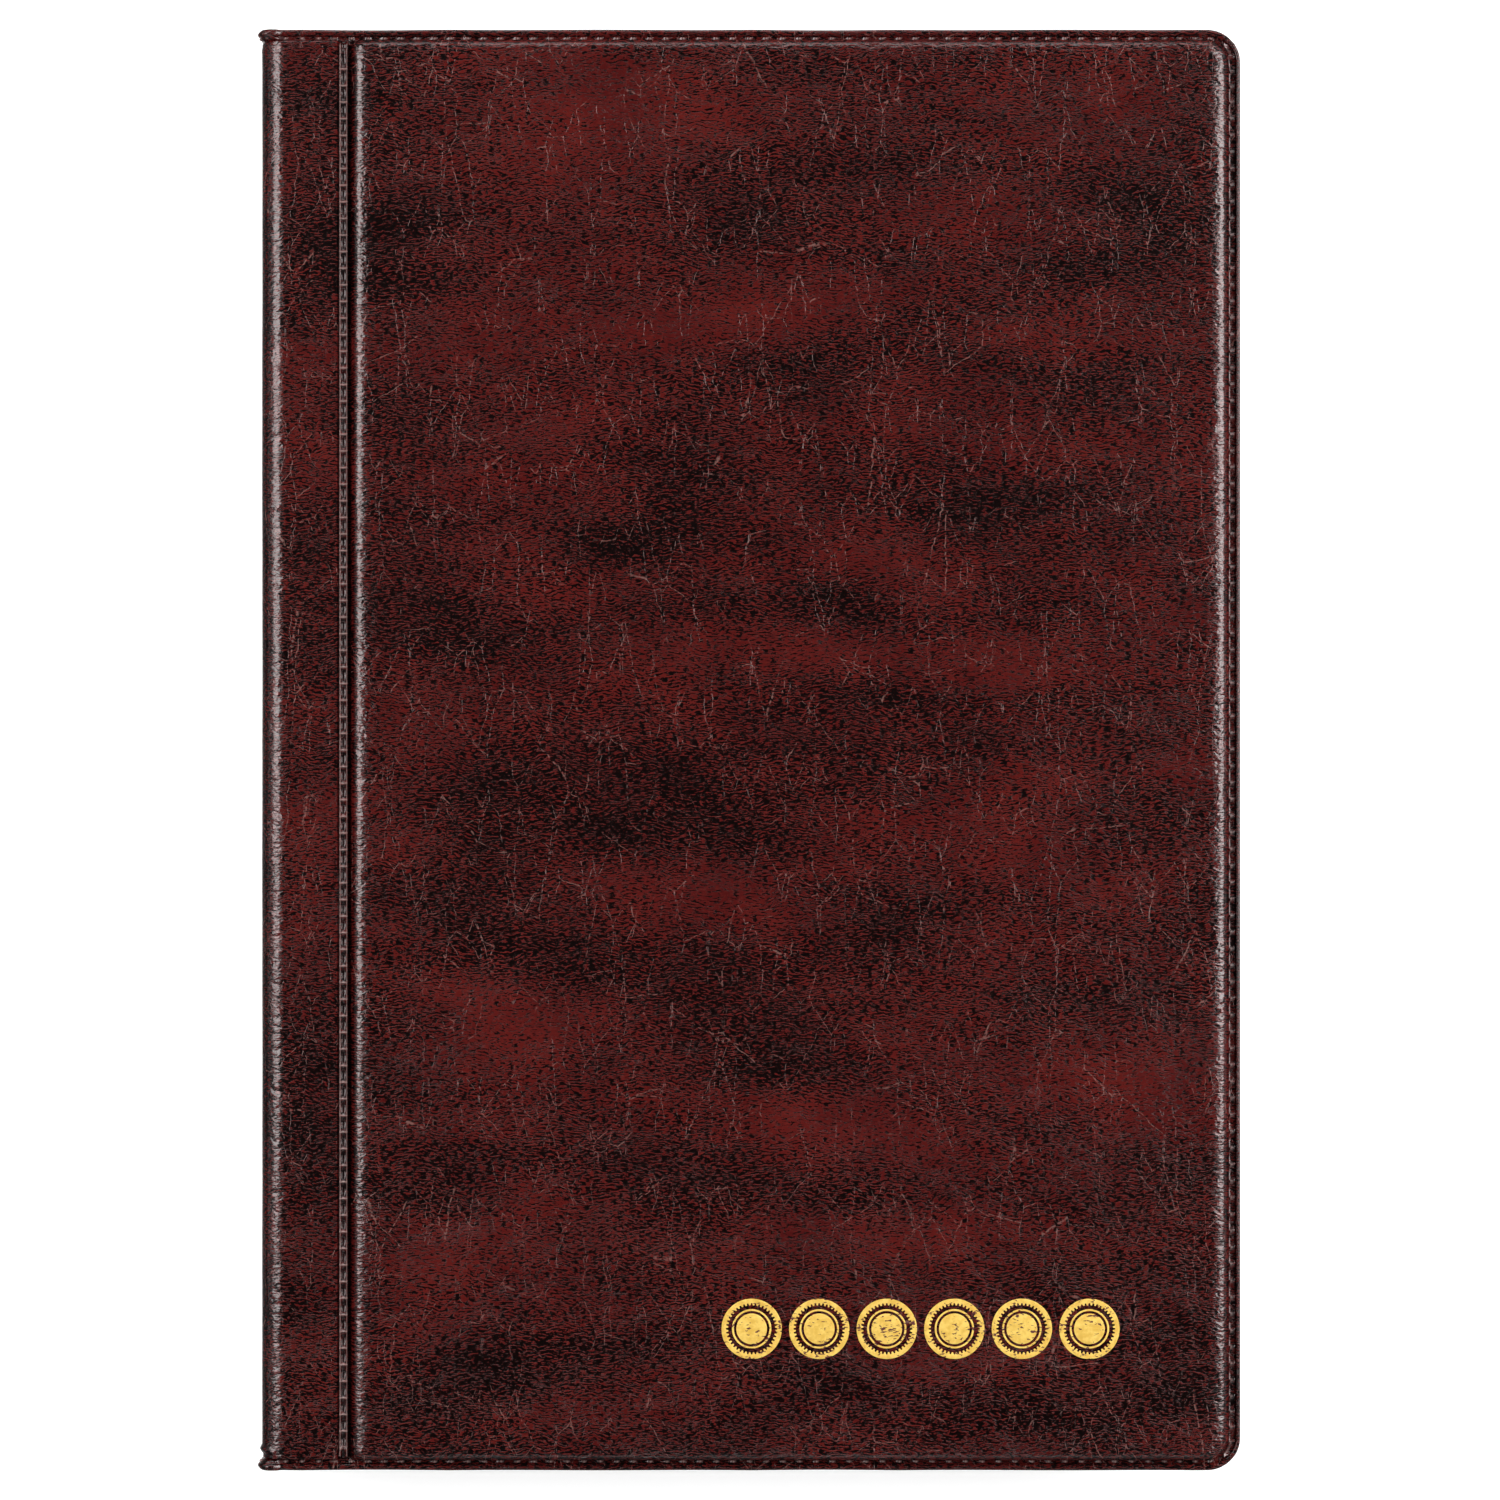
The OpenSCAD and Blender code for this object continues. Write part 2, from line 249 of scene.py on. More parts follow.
def cover_heights(ud, yd, seed, end_ring):
    """Heights of the skin's outer and inner side over the cover's inner face.

    Each point is given by its place on the square-cornered sheet. The third result lightens the skin's colour along the
    welds, partly the weld's whitening and partly painted highlight on the rails, rungs and rim bridges, and where it is
    negative darkens it with painted shade in the ladder's cells.
    """
    x, y, fore = round_corners(ud, yd)
    t = np.minimum(np.where(ud > 0, FORE_X - ud, 99.0), HEAD_Y - np.abs(yd))
    valley = WELD_T
    # padded panel
    depth, wide = panel_depth(x, y)
    e = np.clip(depth / wide, 0, 1)
    dome = np.clip(1 - (1 - e) ** 3, 0, 1) ** 0.35
    crown = 0.16 * smoothstep(0, 22, depth) - 0.10
    panel = (PANEL_T + crown + swell(ud, y, seed) * smoothstep(1.5, 5, depth) - valley) * dome
    # spine and strip
    ends = HEAD_Y - 1.62 - np.abs(yd)
    side = STRIP_X - 0.02 - ud
    strip_side = 0.55 + 0.45 * np.sqrt(1 - (1 - np.clip(side / 0.14, 0, 1)) ** 2)
    strip_ends = np.sqrt(1 - (1 - np.clip(ends / 0.45, 0, 1)) ** 2)
    strip = (BAND_T - valley - edge_sag(ud) + 0.5 * swell(ud, y, seed + 2)) * strip_side * strip_ends
    body = np.where(ud < STRIP_X, strip, np.where(ud < HINGE_X, 0, panel))
    inner = np.maximum(body + valley - SKIN_T, LINING_T)
    # welded rim: bead along the edge, then a groove with a bridge at each step of the wheel
    bead_end = 1.12 - 0.4 * fore
    b = np.clip(t / bead_end, 0, 1)
    bead = 0.42 * np.sqrt(np.clip(1 - (2 * b - 0.86) ** 2, 0, 1)) * (t < bead_end)
    groove = smoothstep(bead_end - 0.02, bead_end + 0.12, t) * (1 - smoothstep(1.52, 1.72, t))
    bridge = rung(ud, 0.24) * (1 - fore) * 0.46 + rung(yd, 0.30) * fore * 0.34
    rim = bead + groove * (bridge - 0.08)
    # ladder along the hinge line
    across = ud - LADDER_X
    gap = 0.51
    lane = smoothstep(1.95, 2.35, t)
    rails = 0.22 * np.exp(-((across + gap) / 0.15) ** 2) + 0.17 * np.exp(-((across - gap) / 0.13) ** 2)
    rungs = 0.20 * rung(yd, 0.22) * (np.abs(across) < gap + 0.15)
    bed = 0.70 * smoothstep(-1.05, -0.95, across) * (1 - smoothstep(gap + 0.10, gap + 0.34, across))
    floor_dip = -0.26 * np.exp(-(across / 0.36) ** 6) * (1 - rung(yd, 0.42))
    ladder = (bed + rails + floor_dip + rungs) * lane
    ladder += 0.30 * end_ring * np.exp(-((np.hypot(across, yd + HEAD_Y - 2.55) - 0.6) / 0.16) ** 2)
    ladder = np.where((across > -1.1) & (across < 1.1), ladder, 0)
    outer = valley + np.maximum(body, ladder) + rim
    # lighter rails and rungs: partly the weld's whitening, partly painted highlight where their ridges would catch the
    # lamps
    rail_line = np.maximum(np.exp(-((across + gap) / 0.11) ** 2), 0.8 * np.exp(-((across - gap) / 0.10) ** 2))
    rung_line = 1.1 * rung(yd, 0.16) * (np.abs(across) < gap + 0.1)
    weld_white_and_highlight = np.maximum(rail_line * 0.75, rung_line) * lane * (np.abs(across) < 0.9)
    # bright dots on the rim's bridges: painted highlight
    dots = groove * (rung(ud, 0.17) * (1 - fore) + 0.35 * rung(yd, 0.25) * fore) * np.exp(-((t - 1.36) / 0.16) ** 2)
    # darker floors of the ladder's cells between the rungs: painted shade in the hollows
    painted_cell_shade = np.exp(-(across / 0.36) ** 6) * (1 - rung(yd, 0.3)) * lane * (np.abs(across) < 0.45)
    # the painted highlight on the dots is strongest along the tail
    dots = dots * np.where(yd < 0, 2.4, 1.5)
    # weld whitening with painted highlight, less the painted shade in the ladder's cells
    wear_marks_and_painted_light = np.clip(np.maximum(weld_white_and_highlight, dots), 0, 1.5) - 0.75 * painted_cell_shade
    return outer, np.minimum(inner, outer - 0.12), wear_marks_and_painted_light


def cover_points(ud, yd, height, lift):
    """Points at that height over the cover's inner face.

    The welded ends of the spine flare out to its corners, and with lift 1 its outline bulges there as well.
    """
    x, y, fore = round_corners(ud, yd)
    px, pz, nx, nz, _ = foot(np.minimum(ud, 0))
    ends = np.abs(yd)
    rounding = smoothstep(TURN_X + 0.7, TURN_X - 0.9, ud)
    flare = smoothstep(HEAD_Y - 1.75, HEAD_Y - 1.45, ends) * 0.98
    bump = 0.34 * np.exp(-((ends - HEAD_Y + 3.05) / 0.42) ** 2) * np.where(yd < 0, 1.0, 0.25)
    ear = 0.42 * np.exp(-((ends - HEAD_Y + 0.75) / 0.62) ** 2) + bump
    notch = -0.16 * np.exp(-((ends - HEAD_Y + 2.2) / 0.3) ** 2) * np.where(yd < 0, 1.0, 0.2)
    h = height + rounding * (flare + (ear + notch) * lift)
    wave = 0.10 * np.sin(ud / 7.3) * np.sin(ud / 23.0 + 1) * smoothstep(1.4, 0.2, HEAD_Y - ends)
    return np.stack([
        np.where(ud > 0, x, px) + nx * h,
        y - np.sign(y) * np.abs(wave),
        pz + nz * h,
    ], 1)


def cover_grid():
    """Lines of the cover's fine grid, and the patches that use them."""
    period = np.array([0, 0.18, 0.46, 1.27, 2.08, 2.36])
    k = np.arange(-60, 60)
    pulses = (k[:, None] * PITCH + period[None, :]).ravel()
    spine = TURN_X - ARC - np.array([SPINE_DROP, 5.2, 3.4, 1.6, 0.5])
    arc = TURN_X - ARC * np.linspace(1, 0, 10)
    strip = np.array([-71.9, -71.3, -70.2, -68.6, -67.0, -65.6, -64.5])
    strip_end = STRIP_X - np.array([0.7, 0.3, 0.16, 0.1, 0.05, 0.02])
    rails = np.array([0.12, 0.30, 0.38, 0.46, 0.51])
    beside = np.array([-0.78, -0.70, -0.62, -0.56, 0.58, 0.68, 0.78, 0.9, 1.05])
    ladder = LADDER_X + np.sort(np.concatenate([-rails, rails, beside]))
    shoulder = PANEL_X + 0.05 + SHOULDER_SIDE * (1 - np.cos(np.linspace(0.11, PI / 2, 13)))
    flat = np.arange(PANEL_X + 4.6, FORE_X - 6.4, 2.54)
    fore_shoulder = FORE_X - 1.75 - SHOULDER_SIDE * (1 - np.cos(np.linspace(PI / 2, 0, 14)))
    fore_rim = FORE_X - np.array([1.62, 1.52, 1.4, 1.1, 0.85, 0.74, 0.7, 0.62, 0.5, 0.36, 0.22, 0.1, 0.0])
    near = np.array([FORE_X - 5.9])
    parts = [
        np.concatenate([spine, arc, strip]),
        np.concatenate([strip_end, ladder]),
        shoulder,
        np.concatenate([flat, near]),
        fore_shoulder,
        fore_rim,
    ]
    fine_x = pulses[(pulses > TURN_X) & (pulses < FORE_X - 2.0)]
    fine_x = fine_x[(fine_x < STRIP_X - 1.2) | (fine_x > PANEL_X + 2.0)]
    coarse = np.unique(np.round(np.concatenate(parts), 4))
    apart = np.array([np.min(np.abs(coarse - v)) > 0.08 for v in fine_x])
    columns = np.unique(np.round(np.concatenate([coarse, fine_x[apart]]), 4))
    rim_t = np.array([
        0, 0.1, 0.28, 0.5, 0.72, 0.92, 1.06, 1.14, 1.22, 1.36, 1.5, 1.6, 1.72, 1.9, 2.12, 2.38, 2.7, 3.05, 3.4, 3.72,
    ])
    top = HEAD_Y - rim_t
    middle = pulses[np.abs(pulses) < HEAD_Y - 3.9]
    rows = np.unique(np.round(np.concatenate([top, -top, middle]), 4))
    col = lambda values: indices(columns, values)
    row = lambda values: indices(rows, values)
    seams = [parts[1][0], parts[2][0], parts[3][0], parts[4][0], parts[5][0]]
    lines = [(parts[0], 6), (parts[1], 1), (parts[2], 2), (parts[3], 6), (parts[4], 2), (parts[5], 1)]
    bands = []
    inner_rows = row(np.concatenate([middle, [HEAD_Y - 3.72, 3.72 - HEAD_Y]]))
    for number, (values, step) in enumerate(lines):
        used = list(values) + ([seams[number]] if number < len(seams) else [])
        picked = inner_rows if step == 1 else sorted(set(inner_rows[::step]) | {inner_rows[0], inner_rows[-1]})
        bands.append((col(used), picked))
    every = list(range(len(columns)))
    bands.append((every, row(top)))
    bands.append((every, row(-top)))
    return columns, rows, bands


def stain_field(u, y, patches):
    """Soft dark and clear patches of the marbled print.

    Each patch is x, y, half length, half height, tilt in degrees and strength.
    """
    total = np.zeros(len(u))
    for cx, cy, a, b, tilt, strength in patches:
        c, s = math.cos(math.radians(tilt)), math.sin(math.radians(tilt))
        p = ((u - cx) * c + (y - cy) * s) / a
        q = (-(u - cx) * s + (y - cy) * c) / b
        total += strength * np.exp(-(p * p + q * q))
    return total


FRONT_PATCHES = [
    (32, 89, 15, 4, -3, 0.9), (61, 80, 12, 9, -20, 1.0), (38, 74, 17, 3, -4, 0.8), (-40, 80, 22, 2, 0, 0.8),
    (-60, 72, 12, 4, 0, 0.7), (-8, 40, 10, 5, 12, 1.1), (-20, 31, 9, 4, -8, 1.1), (15, 22, 13, 3, -24, 1.1),
    (37, 37, 18, 5, 6, 0.7), (-46, 20, 8, 9, 0, 0.7), (30, 8, 38, 1.6, -3, 0.9), (-38, -3, 11, 7, -10, 0.9),
    (-6, -9, 24, 6, 4, 1.0), (-42, -16, 6, 6, 0, 0.7), (61, -9, 9, 5, -16, 0.8), (21, -29, 7, 5, 0, 0.9),
    (-38, -29, 22, 2.6, -18, 0.8), (50, -36, 14, 3, -8, 0.9), (0, -46, 20, 4, -5, 0.7), (-28, -63, 22, 3, -6, 0.7),
    (-5, -68, 15, 3, 0, 0.6), (30, -99, 45, 4.5, -2, 0.7), (67, -88, 6, 16, 0, 0.6), (-40, -96, 16, 5, 10, 0.5),
    (55, 52, 12, 6, -15, 0.6), (8, 58, 16, 4, -6, 0.5), (-69, 28, 5, 12, 0, 0.5), (-68, -58, 5, 10, 0, 0.6),
    (-23, 98, 26, 7, 0, -0.9), (58, 99, 8, 5, 0, -0.7), (-15, 65, 32, 6, 3, -0.9), (18, 30, 14, 4, -12, -0.6),
    (26, 15, 30, 3, -3, -0.8), (15, -12, 14, 4, 4, -0.5), (66, -3, 6, 4, 0, -0.8), (48, -21, 16, 4, -12, -0.9),
    (-8, -22, 20, 4, -6, -0.7), (-41, -39, 20, 3, -14, -0.9), (48, -50, 20, 4, -15, -0.9), (15, -56, 30, 4, -4, -0.9),
    (-45, -76, 16, 6, 0, -0.7), (15, -76, 30, 5, 0, -0.6), (-35, 48, 14, 6, 0, -0.6), (-68, 52, 5, 14, 0, -0.6),
    (-69, -20, 5, 16, 0, -0.7), (40, 63, 12, 4, 0, -0.5), (-20, 12, 16, 4, 10, -0.5),
]
BACK_PATCHES = [
    (-30, 85, 20, 5, -8, 0.9), (25, 70, 14, 8, 12, 1.0), (-10, 46, 26, 3, 6, 0.9), (50, 30, 14, 7, -10, 0.8),
    (-42, 14, 14, 6, 8, 0.9), (8, -4, 30, 4, -5, 1.0), (44, -34, 16, 5, 14, 0.9), (-28, -48, 24, 4, -10, 0.9),
    (20, -72, 18, 6, 4, 0.8), (-48, -90, 14, 6, 0, 0.8), (58, -94, 10, 6, 0, 0.7), (0, 96, 20, 6, 0, -0.8),
    (-40, 62, 16, 6, 0, -0.8), (30, 48, 18, 5, 8, -0.8), (-5, 24, 22, 5, 0, -0.7), (40, 4, 16, 6, -8, -0.8),
    (-36, -16, 18, 6, 6, -0.8), (10, -34, 18, 5, 0, -0.7), (40, -60, 16, 6, 0, -0.8), (-10, -92, 20, 5, 4, -0.8),
]


def surface_grid(columns, rows, bands):
    keys, faces = patchwork(bands)
    return columns[keys[:, 0]], rows[keys[:, 1]], faces


def mirrored(points, back):
    if back:
        points = points.copy()
        points[:, 2] = TOP_Z - points[:, 2]
    return points


def grain_place(u, y, back):
    """Where a point lies on the flat printed sheet, which runs from the front round the spine to the back."""
    flat = foot(u)[4]
    middle = foot(np.array([TURN_X - ARC - SPINE_DROP]))[4][0]
    flat = 2 * middle - flat if back else flat
    return np.stack([flat, y, np.zeros(len(y))], 1)


def build_skin(name, back):
    seed = 2.7 if back else 0.4
    u, y, faces = surface_grid(*COVER_GRID)
    outer_h, inner_h, pressed = cover_heights(u, y, seed, 0.0 if back else 1.0)
    outer = mirrored(cover_points(u, y, outer_h, 1.0), back)
    inner = mirrored(cover_points(u, y, inner_h, 0.0), back)
    points, whole = closed_sheet(outer, inner, faces, back)
    x2, y2, _ = round_corners(u, y)
    place = grain_place(np.where(u > 0, x2, u), y2, back)
    print_clouds_and_shade = stain_field(place[:, 0] if not back else u, y2, BACK_PATCHES if back else FRONT_PATCHES)
    # painted shade round the spine's rounded edge, and a little darker toward the spine
    print_clouds_and_shade += 0.85 * smoothstep(TURN_X - 0.2, TURN_X - 0.9, u) * smoothstep(TURN_X - ARC - 5.0, TURN_X - ARC + 0.4, u)
    print_clouds_and_shade += 0.22 * smoothstep(-36.0, PANEL_X, u)
    # the skin wrinkles where it bends over a shoulder or round the spine's edge
    depth, wide = panel_depth(x2, y2)
    shoulder = smoothstep(-0.05, 0.25, depth / wide) * smoothstep(1.7, 0.7, depth / wide)
    rounding = smoothstep(TURN_X + 2.6, TURN_X + 0.4, u) * smoothstep(TURN_X - ARC - 1.5, TURN_X - ARC + 0.3, u)
    fold = np.maximum(np.where(u > HINGE_X, shoulder, 0), rounding)
    return make_piece(name, points, whole, {
        "grain_at": np.vstack([place, place]),
        # the print's cloud patches, plus the painted shade round the spine's edge
        "print_clouds_and_shade": np.concatenate([print_clouds_and_shade, print_clouds_and_shade]),
        "fold": np.concatenate([fold, fold]),
        # weld whitening with painted highlight on rails, rungs and rim bridges, and painted shade in the ladder's cells
        # where negative
        "pressed": np.concatenate([pressed, 0 * pressed]),
    })


def lining_grid():
    spine = TURN_X - ARC - np.array([SPINE_DROP, 4.0, 1.5])
    arc = TURN_X - ARC * np.linspace(1, 0, 6)
    strip = np.array([-70.5, -68.0, -65.5])
    bend = np.linspace(BEND_START - 0.1, BEND_END + 0.1, 15)
    flat = np.linspace(PANEL_X + 2.5, FORE_X - 5, 26)
    rim = FORE_X - np.array([3.4, 2.4, 1.9, 1.7, 1.55, 1.3, 1.05, 0.8, 0.7, 0.5, 0.25, 0.0])
    columns = np.unique(np.round(np.concatenate([spine, arc, strip, bend, flat, rim]), 4))
    t = np.array([0, 0.25, 0.5, 0.9, 1.1, 1.25, 1.4, 1.55, 1.75, 2.3, 3.5, 6.0, 9.0, 12.0])
    rows = np.unique(np.round(np.concatenate([HEAD_Y - t, t - HEAD_Y, np.linspace(-93, 93, 41)]), 4))
    return columns, rows, [(list(range(len(columns))), list(range(len(rows))))]


def build_lining(name, back):
    u, y, faces = surface_grid(*LINING_GRID)
    x2, y2, fore = round_corners(u, y)
    t = np.minimum(np.where(u > 0, FORE_X - u, 99.0), HEAD_Y - np.abs(y))
    start = 1.1 - 0.4 * fore
    pressed = smoothstep(start, start + 0.15, t) * (1 - smoothstep(1.4, 1.6, t))
    lower = 0.12 * pressed + 0.03 * (1 + np.sin(u / 13) * np.sin(y / 17)) * smoothstep(2, 8, t)
    outer = mirrored(cover_points(u, y, np.full(len(u), LINING_T), 0.0), back)
    inner = mirrored(cover_points(u, y, lower, 0.0), back)
    points, whole = closed_sheet(outer, inner, faces, back)
    place = grain_place(np.where(u > 0, x2, u), y2, back)
    return make_piece(name, points, whole, {"grain_at": np.vstack([place, place])})


def build_card():
    """The creased card in the spine band: a channel with rounded edges, pressed thin where the band is tight."""
    spine = TURN_X - ARC - np.array([SPINE_DROP, 4.0, 2.0, 1.4, 0.9, 0.4])
    arc = TURN_X - ARC * np.linspace(1, 0, 9)
    flat = np.array([-72.0, -71.5, -71.0, -69.0, -66.5, -64.1, -63.7, -63.4, STRIP_X - 0.15])
    half = mm_box("spine_card")[1][1]
    columns = np.unique(np.round(np.concatenate([spine, arc, flat]), 4))
    ends = np.array([0, 0.6, 1.5])
    rows = np.unique(np.round(np.concatenate([np.linspace(-half + 3, half - 3, 31), half - ends, ends - half]), 4))
    way = np.concatenate([columns[:0:-1], columns])
    keys, faces = patchwork([(list(range(len(way))), list(range(len(rows))))])
    u, y = way[keys[:, 0]], rows[keys[:, 1]]
    at_back = (keys[:, 0] < len(columns) - 1)[:, None]
    room = BAND_T - SKIN_T - edge_sag(u) - CARD_PLAY
    taper = 0.5 + 0.6 * smoothstep(STRIP_X, STRIP_X - 1.2, u)
    room = np.where(u > STRIP_X - 1.2, np.minimum(room, taper), room)
    outer = np.minimum(room, LINING_T + CARD_PLAY + CARD_T)
    sides = [cover_points(u, y, height, 0.0) for height in (outer, np.full(len(u), LINING_T + 0.02))]
    sides = [np.where(at_back, mirrored(side, True), side) for side in sides]
    points, whole = closed_sheet(*sides, faces, False)
    return make_piece("spine_card_sheet", points, whole)


def build_pad(name, node):
    """A foam sheet, thick over its middle and thinning to rounded edges that pull in between the corners."""
    lo, hi = mm_box(node)
    back = lo[2] < TOP_Z / 2
    nx, ny = 56, 84
    a, b = np.meshgrid(np.linspace(-1, 1, nx), np.linspace(-1, 1, ny), indexing="ij")
    a, b = np.sin(a * PI / 2), np.sin(b * PI / 2)
    cx, cy = (lo[0] + hi[0]) / 2, (lo[1] + hi[1]) / 2
    wx, wy = (hi[0] - lo[0]) / 2, (hi[1] - lo[1]) / 2
    x = a * (wx - 0.35 * (1 - b ** 6))
    y = b * (wy - 0.45 * (1 - a ** 6))
    corner = np.clip(np.maximum(np.abs(x) - wx + 3.2, 0) ** 2 + np.maximum(np.abs(y) - wy + 3.2, 0) ** 2, 0, None)
    pull = np.where(corner > 3.2 ** 2, 3.2 / np.sqrt(np.maximum(corner, 1e-9)), 1)
    x = np.sign(x) * np.where(np.abs(x) > wx - 3.2, wx - 3.2 + (np.abs(x) - wx + 3.2) * pull, np.abs(x))
    y = np.sign(y) * np.where(np.abs(y) > wy - 3.2, wy - 3.2 + (np.abs(y) - wy + 3.2) * pull, np.abs(y))
    edge = np.minimum(wx - np.abs(x), wy - np.abs(y))
    dome = np.sqrt(np.clip(1 - (1 - np.clip(edge / 1.2, 0, 1)) ** 2, 0.02, 1))
    thick = (hi[2] - lo[2]) * (0.55 + 0.45 * dome) * (0.93 + 0.05 * np.sin(x / 11) * np.sin(y / 13))
    _, under_skin, _ = cover_heights(cx + x, cy + y, 0.0, 0.0)
    under_skin = LINING_Z + under_skin - 0.07
    if back:
        base, top = hi[2], np.maximum(hi[2] - thick, TOP_Z - under_skin)
    else:
        base, top = lo[2], np.minimum(lo[2] + thick, under_skin)
    outer = np.stack([cx + x, cy + y, top + 0 * x], 2).reshape(-1, 3)
    inner = np.stack([cx + x, cy + y, base + 0 * x], 2).reshape(-1, 3)
    faces = [[i * ny + j, (i + 1) * ny + j, (i + 1) * ny + j + 1, i * ny + j + 1]
             for i in range(nx - 1) for j in range(ny - 1)]
    points, whole = closed_sheet(outer, inner, faces, back)
    return make_piece(name, points, whole)


# ------------------------------------------------------------------- leaves

POCKET_ROWS = 6
POCKET_COLS = 3
SEAM_W = 1.4
POCKET_T = 0.12         # film of the pockets
POCKET_PLAY = 0.02      # between the base film and the pockets


def build_leaf(number):
    """A base film with six welded strips of three pillowed coin pockets, each with a thumb notch at its mouth."""
    name = f"leaf_{number:02d}"
    film_lo, film_hi = mm_box(name + "_film")
    pocket_lo, pocket_hi = mm_box(name + "_pockets")
    z0, z1 = film_lo[2], film_hi[2]
    x_end, y_end = film_hi[0], film_hi[1]
    bend = np.linspace(STRIP_X - 0.2, PANEL_X + 4, 19)
    cols = np.concatenate([bend, np.linspace(-55, x_end - 4, 24), x_end - np.array([3.0, 1.8, 0.9, 0.3, 0])])
    margin = np.array([0, 0.3, 0.9, 1.8, 3.0, 5.0])
    rows = np.concatenate([margin - y_end, np.linspace(-96, 96, 30), y_end - margin[::-1]])
    keys, faces = patchwork([(list(range(len(cols))), list(range(len(rows))))])
    x, y = cols[keys[:, 0]], rows[keys[:, 1]]
    r = 3.0
    dx, dy = np.maximum(x - x_end + r, 0), np.maximum(np.abs(y) - y_end + r, 0)
    m, total = np.maximum(dx, dy), np.hypot(dx, dy)
    pull = np.where((dx > 0) & (dy > 0), m / np.maximum(total, 1e-9), 1)
    x = np.where(dx > 0, x_end - r + dx * pull, x)
    y = np.where(dy > 0, np.sign(y) * (y_end - r + dy * pull), y)
    wave = 0.03 * np.sin(x / 17 + number) * np.sin(y / 23 + 2 * number) * smoothstep(-60, -40, x)
    top = np.stack([x, y, z1 + wave], 1)
    low = np.stack([x, y, z0 + wave], 1)
    points, whole = closed_sheet(top, low, faces, False)
    seam = np.zeros(len(points))
    x0, x1 = pocket_lo[0], pocket_hi[0]
    half = pocket_hi[1]
    pitch_y = 2 * half / POCKET_ROWS
    pitch_x = (x1 - x0 - SEAM_W) / POCKET_COLS
    rise = (pocket_hi[2] - z1) - POCKET_PLAY
    unit = np.array([0, 0.35, 0.7, 1.05, 1.4])
    body = np.array([0.06, 0.14, 0.26, 0.4, 0.5, 0.6, 0.74, 0.86, 0.94]) * (pitch_x - SEAM_W) + SEAM_W
    pockets = [np.concatenate([unit, body]) + c * pitch_x for c in range(POCKET_COLS)]
    cx = np.concatenate(pockets + [unit + POCKET_COLS * pitch_x])
    high = pitch_y - SEAM_W / 2
    shares = np.array([0.07, 0.14, 0.25, 0.4, 0.55, 0.7, 0.8, 0.87, 0.92, 0.96, 1.0])
    cy = np.concatenate([[0, 0.35, 0.7, 1.1], high * shares])
    pocket_keys, pocket_faces = patchwork([(list(range(len(cx))), list(range(len(cy))))])
    for row in range(POCKET_ROWS):
        px, py = cx[pocket_keys[:, 0]], cy[pocket_keys[:, 1]]
        inside = (px - SEAM_W) % pitch_x / (pitch_x - SEAM_W)
        inside = np.where(px < SEAM_W, 0, np.where(inside > 1, 1, inside))
        side = np.minimum(inside, 1 - inside)
        up = np.clip((py - 0.7) / 5.5, 0, 1)
        open_side = np.sqrt(np.clip(1 - (1 - np.clip(side / 0.22, 0, 1)) ** 2, 0, 1))
        pillow = open_side * np.sqrt(np.clip(1 - (1 - up) ** 2, 0, 1))
        notch = 3.6 * np.exp(-((inside - 0.5) / 0.16) ** 2) * smoothstep(high * 0.66, high, py)
        z = z1 + POCKET_PLAY + (rise - 0.1) * pillow
        base_y = row * pitch_y + SEAM_W / 2 - half
        outer = np.stack([x0 + px, base_y + py - notch, z + POCKET_T], 1)
        inner = np.stack([x0 + px, base_y + py - notch, z], 1)
        strip, ring = closed_sheet(outer, inner, pocket_faces, False)
        count = len(points)
        points = np.vstack([points, strip])
        whole = whole + [[v + count for v in f] for f in ring]
        welded = np.where((side <= 0) | (py <= 0.72), 1.0, 0.0)
        seam = np.concatenate([seam, welded, welded])
    piece = make_piece(name, points, whole, {"grain_at": points, "weld": seam})
    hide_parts(name + "_film", name + "_pockets", name + "_seams")
    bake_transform(piece)
    return piece


# --------------------------------------------------------------- foil stamp

def ring_strip(cx, cy, radii_in, radii_out):
    """A flat pressed band of foil between two outlines given as radii round a full turn, laid on the cover's skin."""
    n = len(radii_in)
    angle = np.linspace(0, 2 * PI, n, endpoint=False)
    loops = []
    for share, dz in ((0, -0.05), (0, 0.004), (0.12, 0.02), (0.5, 0.024), (0.88, 0.02), (1, 0.004), (1, -0.05)):
        rad = radii_in + (radii_out - radii_in) * share
        x, y = cx + rad * np.cos(angle), cy + rad * np.sin(angle)
        loops.append(np.stack([x, y, skin_top(x, y) + dz], 1))
    rings = len(loops)
    faces = []
    for a in range(rings):
        b = (a + 1) % rings
        for i in range(n):
            j = (i + 1) % n
            faces.append([a * n + i, b * n + i, b * n + j, a * n + j])
    return np.vstack(loops), faces


def disc_cap(cx, cy, radii, levels):
    """A pressed disc of foil, its levels given as pairs of radius share and height."""
    n = len(radii)
    angle = np.linspace(0, 2 * PI, n, endpoint=False)
    loops = []
    for share, dz in [(1.0, -0.05)] + levels:
        x, y = cx + radii * share * np.cos(angle), cy + radii * share * np.sin(angle)
        loops.append(np.stack([x, y, skin_top(x, y) + dz], 1))
    faces = [list(range(n))[::-1]]
    for a in range(len(loops) - 1):
        for i in range(n):
            j = (i + 1) % n
            faces.append([a * n + i, a * n + j, (a + 1) * n + j, (a + 1) * n + i])
    last = (len(loops) - 1) * n
    faces.append([last + i for i in range(n)])
    return np.vstack(loops), faces


def skin_top(x, y):
    outer, _, _ = cover_heights(x, y, 0.4, 1.0)
    return LINING_Z + outer


